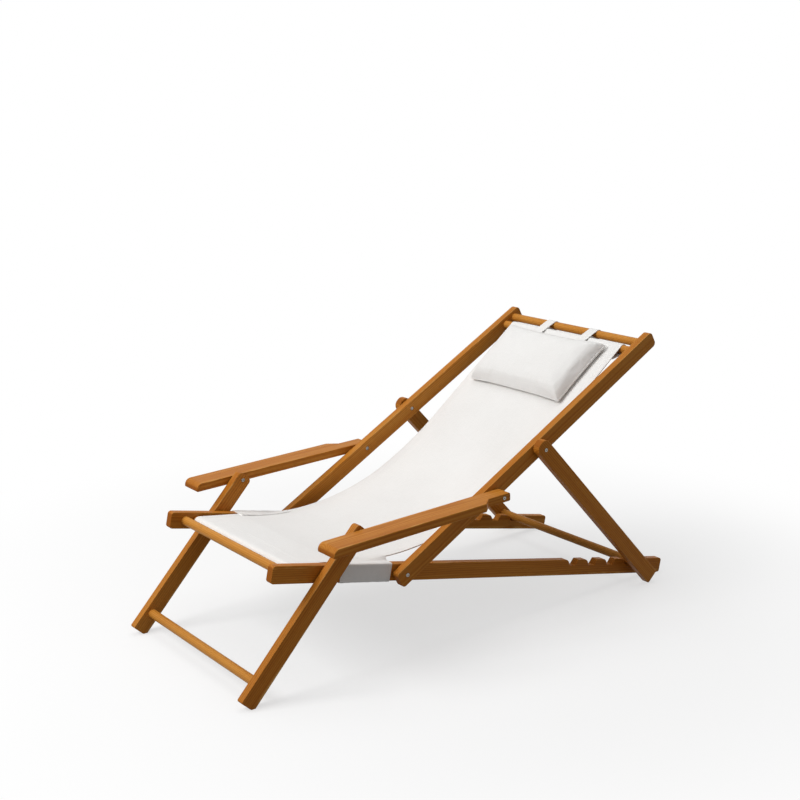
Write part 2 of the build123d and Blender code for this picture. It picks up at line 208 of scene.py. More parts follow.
woodLook = {
    "pale": (0.555, 0.246, 0.044),
    "honey": (0.438, 0.153, 0.0140),
    "brown": (0.302, 0.084, 0.0055),
    "pore": (0.115, 0.032, 0.004),
    "wearAndSheen": (0.660, 0.350, 0.095),  # rubbed edges, paler partly from wear and partly as a painted highlight where the edges catch the light
    "endGrain": (0.262, 0.079, 0.008),
    "grain": {                      # marks a metre along and across, place in the noise, detail, roughness
        "wander": (1.6, 9.0, 0.0, 2.0, 0.55),
        "streak": (2.2, 46.0, 5.0, 4.0, 0.55),
        "fibre": (10.0, 420.0, 11.0, 5.0, 0.65),
        "dash": (34.0, 900.0, 17.0, 2.0, 0.55),
        "broad": (0.9, 5.0, 23.0, 1.0, 0.55),
        "wearAndSheenPatch": (14.0, 60.0, 31.0, 3.0, 0.55),
    },
    "seedStep": 3.7,                # how far apart two bars lie in the noise
    "ringsPerMetre": 210.0,
    "ringWander": 0.022,
    "heartUp": 0.03,                # metres from the bar's middle to the middle of its rings
    "heartDeep": 0.022,
    "heartSway": 0.02,              # how much that differs from bar to bar
    "heartTurn": 2.3,
    "toneShares": {"streak": 0.42, "ring": 0.16, "fibre": 0.26, "broad": 0.30},
    "toneShift": -0.07,
    "toneStops": {"brown": 0.26, "honey": 0.50, "pale": 0.76},
    "poreBand": (0.62, 0.72),
    "poreShare": 0.42,
    "cutBand": (0.80, 0.97),        # how squarely a face has to cut the grain
    "cutShare": 0.85,
    "wearAndSheenSide": 0.80,             # share of the half width and half height where the rubbing and painted edge highlight start
    "wearAndSheenTop": 0.86,
    "wearAndSheenBand": (0.38, 0.62),
    "wearAndSheenShare": 0.65,
    "gloss": 0.42,
    "roughShares": {"tone": 0.14, "pore": 0.18, "cut": 0.2},
    "reliefShares": {"fibre": 0.5, "ring": 0.25, "pore": 0.9},
    "reliefStrength": 0.22,
    "reliefDepth": 0.0005,
    "dowelPaleAndLit": 0.15,              # the turned dowels are paler than the bars, partly their own tone and partly painted light that makes the crossbar in the sling's shadow look lit
    "barHalf": (0.012, 0.024),      # half thickness and half height of the stock
    "armHalf": (0.037, 0.012),
    "dowelHalf": (0.013, 0.013),
}


def woodFinish(name, axis, centre, half, seed, paleAndLit):
    look = woodLook
    wood = Finish(name)
    side = Vector((0, 1, 0)) if axis.x else Vector((1, 0, 0))   # only the dowels run along X
    up = axis.cross(side).normalized()
    spot = wood.node("ShaderNodeVectorMath", {"operation": "SUBTRACT"}, [wood.coords(), tuple(centre)])
    along = wood.dot(spot, tuple(axis))
    across = wood.dot(spot, tuple(up))
    deep = wood.dot(spot, tuple(side))
    shift = seed * look["seedStep"]

    def grain(kind):
        lengthwise, crosswise, offset, detail, rough = look["grain"][kind]
        place = wood.vector(along * lengthwise + shift + offset, across * crosswise, deep * crosswise + shift)
        return wood.clouds(place, detail=detail, rough=rough)

    heartUp = look["heartUp"] + look["heartSway"] * math.sin(seed * look["heartTurn"])
    heartAcross = across + heartUp + (grain("wander") - 0.5) * look["ringWander"]
    heartDeep = deep + look["heartDeep"]
    ringDepth = (heartAcross * heartAcross + heartDeep * heartDeep) ** 0.5
    ring = wood.sine(ringDepth * (look["ringsPerMetre"] * math.tau)) * 0.5 + 0.5
    streak = grain("streak")
    fibre = grain("fibre")
    pore = wood.band(grain("dash"), *look["poreBand"])
    broad = grain("broad")

    share = look["toneShares"]
    marks = streak * share["streak"] + ring * share["ring"] + fibre * share["fibre"] + broad * share["broad"]
    # a dowel's tone is raised here, partly its paler wood and partly painted light
    tone = marks + (paleAndLit + look["toneShift"])
    colour = wood.ramp(tone, [(place, look[shade]) for shade, place in look["toneStops"].items()])
    colour = wood.blendColours(pore * look["poreShare"], colour, look["pore"])

    facing = wood.size(wood.dot(wood.coords("Normal"), tuple(axis)))
    cut = wood.band(facing, *look["cutBand"])
    cutTone = wood.blendColours(ring, look["endGrain"], look["brown"])
    colour = wood.blendColours(cut * look["cutShare"], colour, cutTone)

    # the edges are painted paler: partly wear, partly a painted highlight for light caught on the rounded
    # edges
    nearSide = wood.size(deep) / half[0]
    nearTop = wood.size(across) / half[1]
    edgeWearAndSheen = wood.band(nearSide, look["wearAndSheenSide"], 1.0) * wood.band(nearTop, look["wearAndSheenTop"], 1.0)
    wearAndSheenPatch = edgeWearAndSheen * wood.band(grain("wearAndSheenPatch"), *look["wearAndSheenBand"])
    colour = wood.blendColours(wearAndSheenPatch * look["wearAndSheenShare"], colour, look["wearAndSheen"])

    dulled = look["roughShares"]
    rough = look["gloss"] + (1 - tone) * dulled["tone"] + pore * dulled["pore"] + cut * dulled["cut"]
    raised = look["reliefShares"]
    relief = fibre * raised["fibre"] + ring * raised["ring"] - pore * raised["pore"]
    return wood.wear(
        Base_Color=colour,
        Roughness=rough,
        Normal=wood.bump(relief, look["reliefStrength"], look["reliefDepth"]),
        Specular_IOR_Level=0.10,
        Coat_Weight=0.03,
        Coat_Roughness=0.28,
    )


dowels = ["front_dowel", "front_sling_dowel", "leg_stretcher", "top_dowel", "sling_top_dowel",
          "prop_crossbar"]
barStems = ("base_rail", "leg", "back_rail", "arm", "prop_strut")
bars = [f"{stem}_{side}" for stem in barStems for side in sides]
sharpFrom = {"solid": 30, "cloth": 50, "thread": 60, "pad": 70}     # degrees between two faces


def longAxis(node):     # the direction that a bar or dowel runs in, a bar's from its own mesh
    if node in dowels:
        return Vector((1, 0, 0))
    points = np.array([v.co for v in nodes[node].data.vertices])
    run = np.linalg.svd(points - points.mean(0), full_matrices=False)[2][0]
    return Vector((0, run[1], run[2])).normalized()


def stockHalf(node):    # half thickness and half height
    if node in dowels:
        return woodLook["dowelHalf"]
    return woodLook["armHalf"] if node.startswith("arm") else woodLook["barHalf"]


def smoothShading(target, kind):
    target.data.shade_smooth()
    target.data.set_sharp_from_angle(angle=math.radians(sharpFrom[kind]))


def paintNode(name, material):
    target = nodes[name]
    target.data.materials.clear()
    target.data.materials.append(material)


for order, name in enumerate(bars + dowels, 1):
    # dowels get a paler tone that is partly painted light
    paleAndLit = woodLook["dowelPaleAndLit"] if name in dowels else 0.0
    wood = woodFinish(f"oiledWood_{name}", longAxis(name), middleOf(name), stockHalf(name), order, paleAndLit)
    paintNode(name, wood)
print("wood finished on", len(bars + dowels), "pieces")


# zinc-plated bolts and nuts, and the pale spacers

steelLook = {
    "bright": (0.36, 0.34, 0.31),
    "dull": (0.21, 0.20, 0.18),
    "blotchScale": 180.0,
    "blotchBand": (0.35, 0.7),
    "scratchScale": 900.0,
    "scratchRough": 0.22,
    "rough": 0.26,
}
spacerLook = {
    "pale": (0.62, 0.60, 0.55),
    "soiled": (0.40, 0.37, 0.32),
    "soilScale": 160.0,
    "soilBand": (0.45, 0.75),
    "soilShare": 0.5,
    "soilRough": 0.2,
    "rough": 0.5,
}


def steelFinish():
    look = steelLook
    steel = Finish("zincSteel")
    place = steel.coords()
    blotch = steel.band(steel.clouds(place, look["blotchScale"], detail=3.0), *look["blotchBand"])
    scratch = steel.clouds(place, look["scratchScale"], detail=4.0, rough=0.7)
    return steel.wear(
        Base_Color=steel.blendColours(blotch, look["bright"], look["dull"]),
        Metallic=1.0,
        Roughness=look["rough"] + scratch * look["scratchRough"],
        Normal=steel.bump(scratch, strength=0.08, depth=0.0003),
    )


def spacerFinish():
    look = spacerLook
    nylon = Finish("spacerNylon")
    soil = nylon.band(nylon.clouds(nylon.coords(), look["soilScale"], detail=4.0), *look["soilBand"])
    colour = nylon.blendColours(soil * look["soilShare"], look["pale"], look["soiled"])
    return nylon.wear(Base_Color=colour, Roughness=look["rough"] + soil * look["soilRough"])


steel = steelFinish()
nylon = spacerFinish()
for name in nodes:
    if name.endswith(("_bolts", "_nuts")):
        paintNode(name, steel)
    if name.endswith("_spacers"):
        paintNode(name, nylon)
print("metal and spacers finished")


# canvas, woven along a point attribute that holds metres of cloth

canvasLook = {
    "pale": (0.865, 0.855, 0.838),
    "shade": (0.755, 0.742, 0.720),
    "yarn": 0.0011,
    "slub": (30.0, 900.0),          # thick places of the yarn, a metre along it and across it
    "wash": 4.0,                    # faint clouds, a metre
    "toneShares": {"weave": 0.30, "slub": 0.55, "wash": 0.30},
    "toneBand": (0.35, 0.80),
    "rough": 0.86,
    "weaveRough": 0.06,
    "slubRelief": 0.6,
    "reliefStrength": 0.30,
    "reliefDepth": 0.0004,
}
threadLook = {"pale": (0.80, 0.785, 0.755), "twist": 2600.0, "plyShare": 0.5, "rough": 0.6, "plyRough": 0.2}


def canvasFinish(name):
    look = canvasLook
    canvas = Finish(name)
    cloth = canvas.node("ShaderNodeAttribute", {"attribute_name": "clothPlace"}, output="Vector")
    width = canvas.dot(cloth, (1, 0, 0))
    length = canvas.dot(cloth, (0, 1, 0))
    pitch = math.pi / look["yarn"]
    warp = canvas.sine(width * pitch)
    weft = canvas.sine(length * pitch)
    over = warp * weft * 0.5 + 0.5
    weave = over * canvas.size(warp) + (1 - over) * canvas.size(weft)

    def cloudy(across, along, layer, detail=2.0):
        return canvas.clouds(canvas.vector(width * across, length * along, layer), detail=detail)

    few, many = look["slub"]
    slub = cloudy(few, many, layer=0.0) * 0.5 + cloudy(many, few, layer=3.0) * 0.5
    wash = cloudy(look["wash"], look["wash"], layer=7.0, detail=3.0)
    share = look["toneShares"]
    tone = weave * share["weave"] + slub * share["slub"] + wash * share["wash"]
    relief = weave + slub * look["slubRelief"]
    return canvas.wear(
        Base_Color=canvas.blendColours(canvas.band(tone, *look["toneBand"]), look["shade"], look["pale"]),
        Roughness=look["rough"] - weave * look["weaveRough"],
        Normal=canvas.bump(relief, look["reliefStrength"], look["reliefDepth"]),
        Sheen_Weight=0.18,
        Sheen_Roughness=0.5,
        Specular_IOR_Level=0.25,
    )


def threadFinish():
    look = threadLook
    thread = Finish("sewingThread")
    ply = thread.clouds(thread.coords(), look["twist"])
    colour = thread.blendColours(ply * look["plyShare"], look["pale"], canvasLook["shade"])
    return thread.wear(Base_Color=colour, Roughness=look["rough"] + ply * look["plyRough"])


slingCanvas = canvasFinish("slingCanvas")
pillowCanvas = canvasFinish("pillowCanvas")
thread = threadFinish()
print("cloth and thread finished")


# mesh helpers

def makePiece(name, verts, faces, material, places=None):
    mesh = bpy.data.meshes.new(name)
    mesh.from_pydata([tuple(v) for v in verts], [], faces)
    if places is not None:
        attribute = mesh.attributes.new("clothPlace", "FLOAT_VECTOR", "POINT")
        attribute.data.foreach_set("vector", np.array(places, np.float32).ravel())
    mesh.validate()
    mesh.materials.append(material)
    piece = bpy.data.objects.new(name, mesh)
    bpy.context.scene.collection.objects.link(piece)
    return piece


def straight(start, end, step):     # points on a line, without its last point
    count = max(1, round((end - start).length / step))
    return [start.lerp(end, i / count) for i in range(count)]


def bend(centre, radius, fromAngle, toAngle, step):     # points on an arc, without its last point
    count = max(2, round(abs(math.radians(toAngle - fromAngle)) * radius / step))
    return [centre + turned(fromAngle + (toAngle - fromAngle) * i / count, radius) for i in range(count)]


def lengths(points):
    total = [0.0]
    for first, second in zip(points, points[1:]):
        total.append(total[-1] + (second - first).length)
    return total


def uprights(points):   # the cloth's upper side at each point of its path
    result = []
    for i in range(len(points)):
        run = points[min(i + 1, len(points) - 1)] - points[max(i - 1, 0)]
        result.append(Vector((-run.y, run.x)).normalized())
    return result


def nearest(values, wanted):
    return min(range(len(values)), key=lambda i: abs(values[i] - wanted))


def softBump(value, start, end):
    t = min(max((value - start) / (end - start), 0), 1)
    return math.sin(math.pi * t) ** 2


def crumple(fold, across, along, side=1):   # a fold is its waves a metre both ways, its height and its layer
    wavesAcross, wavesAlong, height, layer = fold
    return noise.noise(Vector((across * wavesAcross, along * wavesAlong, layer * side))) * height


def clothGrid(rows, cols, place, thick):
    # two skins of a sheet with closed edges
    # place(row, col) gives the middle, its upward normal and its share of the thickness
    top, low = [], []
    for r in range(rows):
        for c in range(cols):
            middle, normal, share = place(r, c)
            top.append(middle + normal * thick * share / 2)
            low.append(middle - normal * thick * share / 2)
    skin = rows * cols
    faces = []
    for r in range(rows - 1):
        for c in range(cols - 1):
            a, b = r * cols + c, r * cols + c + 1
            d, e = a + cols, b + cols
            faces.append((a, b, e, d))
            faces.append((skin + a, skin + d, skin + e, skin + b))
    edge = list(range(cols)) + [r * cols + cols - 1 for r in range(1, rows)]
    edge += [(rows - 1) * cols + c for c in range(cols - 2, -1, -1)]
    edge += [r * cols for r in range(rows - 2, 0, -1)]
    for first, second in zip(edge, edge[1:] + edge[:1]):
        faces.append((second, first, skin + first, skin + second))
    return top + low, faces


# stitches: short thread capsules along a line of spots

stitchCut = {
    "length": 0.0042,
    "gap": 0.0016,
    "radius": 0.00042,
    "sides": 6,
    "rings": (                  # share of the length, and of the radius
        (0.0, 0.35), (0.18, 0.95), (0.5, 1.15), (0.82, 0.95), (1.0, 0.35),
    ),
    "sink": 0.75,               # of the radius, into the cloth
    "flat": 0.8,
}


def capsule(verts, faces, start, end, normal):
    cut = stitchCut
    radius, around = cut["radius"], cut["sides"]
    run = (end - start).normalized()
    across = run.cross(normal).normalized()
    rise = across.cross(run).normalized()
    first = len(verts)
    for share, swell in cut["rings"]:
        middle = start.lerp(end, share) + normal * radius * (swell - cut["sink"])
        for k in range(around):
            a = 2 * math.pi * k / around
            verts.append(middle + (across * math.cos(a) + rise * math.sin(a) * cut["flat"]) * radius * swell)
    last = first + (len(cut["rings"]) - 1) * around
    for ring in range(first, last, around):
        for k in range(around):
            a, b = ring + k, ring + (k + 1) % around
            faces.append((a, b, b + around, a + around))
    faces.append(tuple(first + k for k in reversed(range(around))))
    faces.append(tuple(last + k for k in range(around)))


def stitchLine(verts, faces, spots, thick):     # on the upper skin of a cloth, at spots that its grid gave
    cut = stitchCut
    line = [middle + normal * (thick * share / 2) for middle, normal, share in spots]
    normals = [normal for middle, normal, share in spots]
    run = lengths(line)
    place = cut["gap"]
    while place + cut["length"] < run[-1]:
        ends = []
        for wanted in (place, place + cut["length"]):
            i = max(k for k in range(len(run)) if run[k] <= wanted)
            i = min(i, len(run) - 2)
            t = (wanted - run[i]) / max(run[i + 1] - run[i], 1e-9)
            ends.append((line[i].lerp(line[i + 1], t), normals[i].lerp(normals[i + 1], t).normalized()))
        (start, normal), (end, _) = ends
        capsule(verts, faces, start, end, normal)
        place += cut["length"] + cut["gap"]


# sling: one strip of canvas from its front hem to its top hem

slingCut = {
    "halfWidth": 0.246,
    "sideHem": 0.020,
    "thick": 0.0016,
    "hemThick": 1.7,            # share of the thickness along the side hems
    "hemColumns": (0.0, 0.0015, 0.006, 0.013),      # from the side edge
    "hemFall": 0.0012,          # half the width over which a hem's thickness ends
    "hemClear": 0.008,          # from the hem to the even columns
    "columns": 40,
    "wrapRadius": 0.0144,       # middle of the cloth round a dowel
    "frontDowelAlong": 0.086,
    "frontWrap": (-20.0, -262.0),   # degrees from the rail's line, where the cloth meets and leaves the dowel
    "topDowelAlong": 1.012,
    "topWrap": (90.0, -120.0),      # and from the back's line
    "seatTuck": 0.052,          # cloth that turns back under the seat and is sewn there
    "seatTuckRise": 0.0035,     # of its sewn end, above the dowel's wrap
    "seatTuckStart": -0.004,    # from the rail's axis
    "topTuck": 0.052,
    "topTuckFall": 0.0085,      # of its sewn end, below the dowel's wrap
    "tuckGap": 2.2,             # thicknesses between the middles of both layers
    "sleeveFront": 0.215,
    "bendFrom": 0.250,
    "seatUp": 0.0230,
    "bendRadius": 0.760,
    "bendAngle": 37.0,
    "riseAlong": 0.600,
    "riseUp": -0.050,
    "turnAlong": 0.290,         # a spot well up the back, from which the cloth follows it
    "turnUp": -0.058,
    "edgeCurl": 0.015,          # how far the middle hangs below the edges
    "curlSpan": (0.30, 0.72),   # shares of the cloth's length where that starts and ends
    "looseSpan": (0.10, 0.80),
    "freeSpan": (0.045, 0.955),
    "taut": 0.3,                # share of the ripples that the tight ends keep
    "ripple": (5.0, 2.4, 0.0022, 3.0),
    "pucker": (34.0, 7.0, 0.0007, 9.0),
    "edgeWave": (6.0, 1.0, 0.0012, 0.0),
    "leftWave": 1.0,            # where each edge lies in that noise
    "rightWave": 5.0,
    "edgeStitch": 0.0035,       # from the side edge
    "hemStitch": 0.0030,        # from the hem's inner edge
    "sideStitchFrom": 0.05,     # past the end of the seat's tuck
    "sideStitchTo": 0.06,       # before the start of the top's
    "seatSewn": 0.033,          # from an end of the cloth to the cross seam, past two lengths of its tuck
    "topSewn": 0.046,
    "step": 0.007,
    "roundStep": 0.003,
}


def slingLine():
    cut = slingCut
    slope, angle = sideView["railSlope"], sideView["backAngle"]
    front, wrap = cut["frontDowelAlong"], cut["wrapRadius"]
    step, roundStep = cut["step"], cut["roundStep"]
    tuckGap = cut["tuckGap"] * cut["thick"]

    begin, end = cut["frontWrap"]
    tuck = railPoint(front + cut["seatTuck"], wrap + cut["seatTuckRise"] - tuckGap)
    points = straight(tuck, railPoint(front + wrap, cut["seatTuckStart"]), step)
    points += bend(railPoint(front), wrap, slope + begin, slope + end, roundStep)

    seatFront = railPoint(cut["sleeveFront"], cut["seatUp"])
    seatBend = railPoint(cut["bendFrom"], cut["seatUp"])
    points += straight(railPoint(front, wrap), seatFront, step)
    points += straight(seatFront, seatBend, step)

    bendCentre = seatBend + turned(slope + 90, cut["bendRadius"])
    bent = slope + cut["bendAngle"]
    points += bend(bendCentre, cut["bendRadius"], slope - 90, bent - 90, step)
    low = bendCentre + turned(bent - 90, cut["bendRadius"])

    rise = backPoint(cut["riseAlong"], cut["riseUp"])
    chord = rise - low
    lean = math.degrees(math.atan2(chord.y, chord.x)) - bent
    riseRadius = chord.length / (2 * math.sin(math.radians(lean)))
    riseCentre = low + turned(bent + 90, riseRadius)
    points += bend(riseCentre, riseRadius, bent - 90, bent - 90 + 2 * lean, step)
    points += straight(rise, backPoint(cut["topDowelAlong"], wrap), step)

    begin, end = cut["topWrap"]
    upperDowel = backPoint(cut["topDowelAlong"])
    points += bend(upperDowel, wrap, angle + begin, angle + end, roundStep)
    tuckTop = backPoint(cut["topDowelAlong"] - cut["topTuck"], wrap - cut["topTuckFall"] - tuckGap)
    return points + straight(upperDowel + turned(angle + end, wrap), tuckTop, step) + [tuckTop]


def slingColumns():
    cut = slingCut
    half = cut["halfWidth"]
    inner = half - cut["sideHem"]
    edge = [-half + inset for inset in cut["hemColumns"]] + [-inner - cut["hemFall"], -inner + cut["hemFall"]]
    even = inner - cut["hemClear"]
    middle = [-even + 2 * even * i / cut["columns"] for i in range(cut["columns"] + 1)]
    return edge + middle + [-x for x in reversed(edge)]


slingPath = slingLine()
slingRun = lengths(slingPath)
slingUp = uprights(slingPath)
slingTotal = slingRun[-1]
slingCols = slingColumns()


def slingSpot(r, c):
    cut = slingCut
    x, along, up = slingCols[c], slingRun[r], slingUp[r]
    share = along / slingTotal
    edge = abs(x) / cut["halfWidth"]
    curl = cut["edgeCurl"] * softBump(share, *cut["curlSpan"]) * (edge ** 5 - 1)
    loose = cut["taut"] + (1 - cut["taut"]) * softBump(share, *cut["looseSpan"])
    ripple = crumple(cut["ripple"], x, along) * loose
    pucker = crumple(cut["pucker"], x, along) * loose * edge ** 3
    free = softBump(share, *cut["freeSpan"]) ** 0.25
    spot = slingPath[r] + up * ((curl + (ripple + pucker)) * free)
    wave = crumple(cut["edgeWave"], along, cut["leftWave"] if x > 0 else cut["rightWave"]) * edge ** 6 * free
    hemmed = cut["hemThick"] if abs(x) > cut["halfWidth"] - cut["sideHem"] else 1.0
    return Vector((x + wave, spot.x, spot.y)), Vector((0, up.x, up.y)), hemmed


def slingRow(length):       # the first row past a length of cloth
    return next(i for i, s in enumerate(slingRun) if s > length)


def buildSling():
    verts, faces = clothGrid(len(slingPath), len(slingCols), slingSpot, slingCut["thick"])
    places = [(x, s, 0.0) for s in slingRun for x in slingCols] * 2
    cloth = makePiece("sling_cloth", verts, faces, slingCanvas, places)
    smoothShading(cloth, "cloth")
    return cloth


def stitchSling():
    cut = slingCut
    verts, faces = [], []
    startRow = slingRow(cut["seatTuck"] + cut["sideStitchFrom"])
    endRow = slingRow(slingTotal - cut["topTuck"] - cut["sideStitchTo"])
    for inset in (cut["edgeStitch"], cut["sideHem"] - cut["hemStitch"]):
        for sign in (-1, 1):
            wanted = sign * (cut["halfWidth"] - inset)
            col = nearest(slingCols, wanted)
            spots = [slingSpot(r, col) for r in range(startRow, endRow)]
            for middle, normal, share in spots:
                middle.x += wanted - slingCols[col]
            stitchLine(verts, faces, spots, cut["thick"])
    rowSeat = slingRow(2 * cut["seatTuck"] + cut["seatSewn"])
    rowTop = slingRow(slingTotal - 2 * cut["topTuck"] - cut["topSewn"])
    for row in (rowSeat, rowSeat + 1, rowTop, rowTop - 1):
        stitchLine(verts, faces, [slingSpot(row, c) for c in range(len(slingCols))], cut["thick"])
    stitches = makePiece("sling_stitching", verts, faces, thread)
    smoothShading(stitches, "thread")
    return stitches


sling = buildSling()
print("sling: %.3f m of cloth" % slingTotal)
slingStitching = stitchSling()
print("sling stitched:", len(slingStitching.data.polygons), "faces")


# sleeves: the sling's side tabs, sewn round the base rails

sleeveCut = {
    "front": slingCut["sleeveFront"],
    "rear": 0.382,
    "gap": 0.0009,
    "round": 0.0034,
    "thick": 0.0013,
    "hem": 0.012,
    "hemThick": 1.8,            # share of the thickness along the front and rear hems
    "lip": 0.020,               # cloth that lies on the sling and is sewn there
    "sewnDrop": 0.0055,         # the strip ends this far below the rail's top edge, inside
    "crease": (26.0, 14.0, 0.0013, 4.0),
    "wrinkle": (70.0, 9.0, 0.0006, 8.0),
    "puff": 0.0004,             # the least that the cloth stands off
    "puffAtEnds": 0.25,         # share of the puff at both hems, and how fast it grows from there
    "puffGrowth": 9.0,
    "hemStitches": (0.004, 0.011),      # from the hem's edge
    "lipStitches": (0.0035, 0.0150),    # from the lip's edge
    "step": 0.0045,
    "roundStep": 0.0012,
}


def sleeveSection():            # the strip's way round the rail, as (X, up) from the rail's axis
    cut = sleeveCut
    wide = sideView["railHalfThick"] + cut["gap"]
    tall = sideView["railHalfHeight"] + cut["gap"]
    r = cut["round"]
    lipFrom = slingCut["halfWidth"] - cut["lip"] - sideView["railMiddle"]
    sewnEnd = Vector((-wide, tall - cut["sewnDrop"]))
    corners = [                 # an arc's middle and angles, and where the strip goes from there
        (Vector((wide - r, tall - r)), 90, 0, Vector((wide, r - tall))),
        (Vector((wide - r, r - tall)), 0, -90, Vector((r - wide, -tall))),
        (Vector((r - wide, r - tall)), -90, -180, sewnEnd),
    ]
    points = straight(Vector((lipFrom, tall)), Vector((wide - r, tall)), cut["step"])
    for middle, begin, end, onward in corners:
        points += bend(middle, r, begin, end, cut["roundStep"])
        points += straight(middle + turned(end, r), onward, cut["step"])
    return points + [sewnEnd]


def slingRise(along):           # how far the sling has left the rail's line
    past = max(along - slingCut["bendFrom"], 0)
    return past * past / (2 * slingCut["bendRadius"])


def buildSleeve(name, side):
    cut = sleeveCut
    section = sleeveSection()
    outward = uprights(section)
    run = lengths(section)
    count = round((cut["rear"] - cut["front"]) / cut["step"])
    alongs = [cut["front"] + (cut["rear"] - cut["front"]) * i / count for i in range(count + 1)]
    gap = sideView["railMiddle"] - sideView["railHalfThick"] - slingCut["halfWidth"]

    def place(r, c):
        along, spot = alongs[r], section[c]
        end = min(r, count - r) / count
        crease = crumple(cut["crease"], along, run[c], side) + crumple(cut["wrinkle"], along, run[c], side)
        puff = (abs(crease) + cut["puff"]) * min(1.0, end * cut["puffGrowth"] + cut["puffAtEnds"])
        overSling = min(max((-sideView["railHalfThick"] - spot.x) / gap, 0), 1)
        up = spot.y + slingRise(along) * overSling + outward[c].y * puff
        x = side * (sideView["railMiddle"] + spot.x + outward[c].x * puff)
        flank = railPoint(along, up)
        normal = Vector((side * outward[c].x, *turned(sideView["railSlope"], 0, outward[c].y)))
        hemmed = cut["hemThick"] if min(along - cut["front"], cut["rear"] - along) < cut["hem"] else 1.0
        return Vector((x, flank.x, flank.y)), normal.normalized(), hemmed

    verts, faces = clothGrid(len(alongs), len(section), place, cut["thick"])
    places = [(s, along, 0.0) for along in alongs for s in run] * 2
    sleeve = makePiece(name, verts, faces, slingCanvas, places)
    if side < 0:
        sleeve.data.flip_normals()
    smoothShading(sleeve, "cloth")

    verts, faces = [], []
    for inset in cut["hemStitches"]:
        for wanted in (cut["front"] + inset, cut["rear"] - inset):
            row = nearest(alongs, wanted)
            stitchLine(verts, faces, [place(row, c) for c in range(len(section))], cut["thick"])
    for inset in cut["lipStitches"]:
        col = nearest(run, inset)
        stitchLine(verts, faces, [place(r, col) for r in range(len(alongs))], cut["thick"])
    stitches = makePiece(name + "_stitching", verts, faces, thread)
    smoothShading(stitches, "thread")
    return sleeve, stitches, run[-1]


sleeves = {side: buildSleeve(f"sling_sleeve_{side}", sign) for side, sign in sides.items()}
print("sleeves sewn round the rails")


# pillow: a pad that is blown up as cloth, flat where it lies on the sling

pillowCut = {
    "width": 0.420,
    "length": 0.242,
    "height": 0.058,
    "fromHem": 0.020,
    "aside": -0.006,            # how far it hangs from the middle
    "taper": 0.009,             # each side at the lower end
    "seat": 0.0006,             # above the sling
    "inset": 0.004,             # the pad starts this much smaller all round
    "startHeight": 0.052,
    "levels": (                 # share of that height, and how far the side stands in there
        (0.0, 0.010), (0.10, 0.002), (0.20, 0.0), (0.38, 0.005),
        (0.58, 0.015), (0.77, 0.030), (0.91, 0.052), (1.0, 0.086),
    ),
    "acrossSteps": 28,
    "longSteps": 20,
    "draw": 0.003,              # how far the sides pull in
    "voxel": 0.005,
    "pressure": 4.0,
    "stiffness": 12,
    "bending": 0.4,
    "frames": 20,
    "cap": 0.006,               # the most that a spot moves
    "crown": 0.97,              # share of the height before the dimples
    "mostStretch": 1.25,
    "dimple": (17, 17, 0.0016, 2.0),
    "seam": 0.24,               # share of the height
    "seamBand": 0.006,          # spots this near to it give the outline
    "seamSpots": 260,
    "seamReach": 1.6,           # half widths of a sector that one spot is taken from
    "seamRounds": 4,            # of smoothing
    "pipe": 0.0013,
}
hemTopPoint = backPoint(slingCut["topDowelAlong"], slingCut["wrapRadius"])
risePoint = backPoint(slingCut["riseAlong"], slingCut["riseUp"])
pillowRun = (hemTopPoint - risePoint).normalized()
pillowUp = Vector((-pillowRun.y, pillowRun.x))
clothTop = slingCut["thick"] / 2 + pillowCut["seat"]
fromHem = pillowCut["fromHem"] + pillowCut["length"] / 2
pillowMiddle = hemTopPoint - pillowRun * fromHem + pillowUp * clothTop
pillowFrame = Matrix((
    (1, 0, 0, pillowCut["aside"]),
    (0, pillowRun.x, pillowUp.x, pillowMiddle.x),
    (0, pillowRun.y, pillowUp.y, pillowMiddle.y),
    (0, 0, 0, 1),
))


def padOutline(x, y, halfWidth, halfLength, draw):
    # pulls a point of the plain rectangle in, between the corners
    bowX = draw * (1 - (y / halfLength) ** 2) * (x / halfWidth)
    bowY = draw * (1 - (x / halfWidth) ** 2) * (y / halfLength)
    return x - bowX, y - bowY


def startPad():
    cut = pillowCut
    halfWidth = cut["width"] / 2 - cut["inset"]
    halfLength = cut["length"] / 2 - cut["inset"]
    across, along = cut["acrossSteps"], cut["longSteps"]
    verts, faces, rings = [], [], []
    for share, inset in cut["levels"]:
        ring = []
        wide, deep = halfWidth - inset, halfLength - inset
        edge = [(-wide + 2 * wide * i / across, -deep) for i in range(across)]
        edge += [(wide, -deep + 2 * deep * i / along) for i in range(along)]
        edge += [(wide - 2 * wide * i / across, deep) for i in range(across)]
        edge += [(-wide, deep - 2 * deep * i / along) for i in range(along)]
        for x, y in edge:
            x, y = padOutline(x, y, wide, deep, cut["draw"])
            ring.append(len(verts))
            verts.append(Vector((x, y, cut["startHeight"] * share)))
        rings.append(ring)
    for low, high in zip(rings, rings[1:]):
        for i in range(len(low)):
            j = (i + 1) % len(low)
            faces.append((low[i], low[j], high[j], high[i]))
    faces.append(tuple(reversed(rings[0])))
    faces.append(tuple(rings[-1]))
    return makePiece("headrest_pillow", verts, faces, pillowCanvas)


def pointsOf(mesh):
    return np.array([v.co for v in mesh.vertices])


def applyModifiers(piece):
    depsgraph = bpy.context.evaluated_depsgraph_get()
    mesh = bpy.data.meshes.new_from_object(piece.evaluated_get(depsgraph))
    old = piece.data
    piece.modifiers.clear()
    piece.data = mesh
    bpy.data.meshes.remove(old)


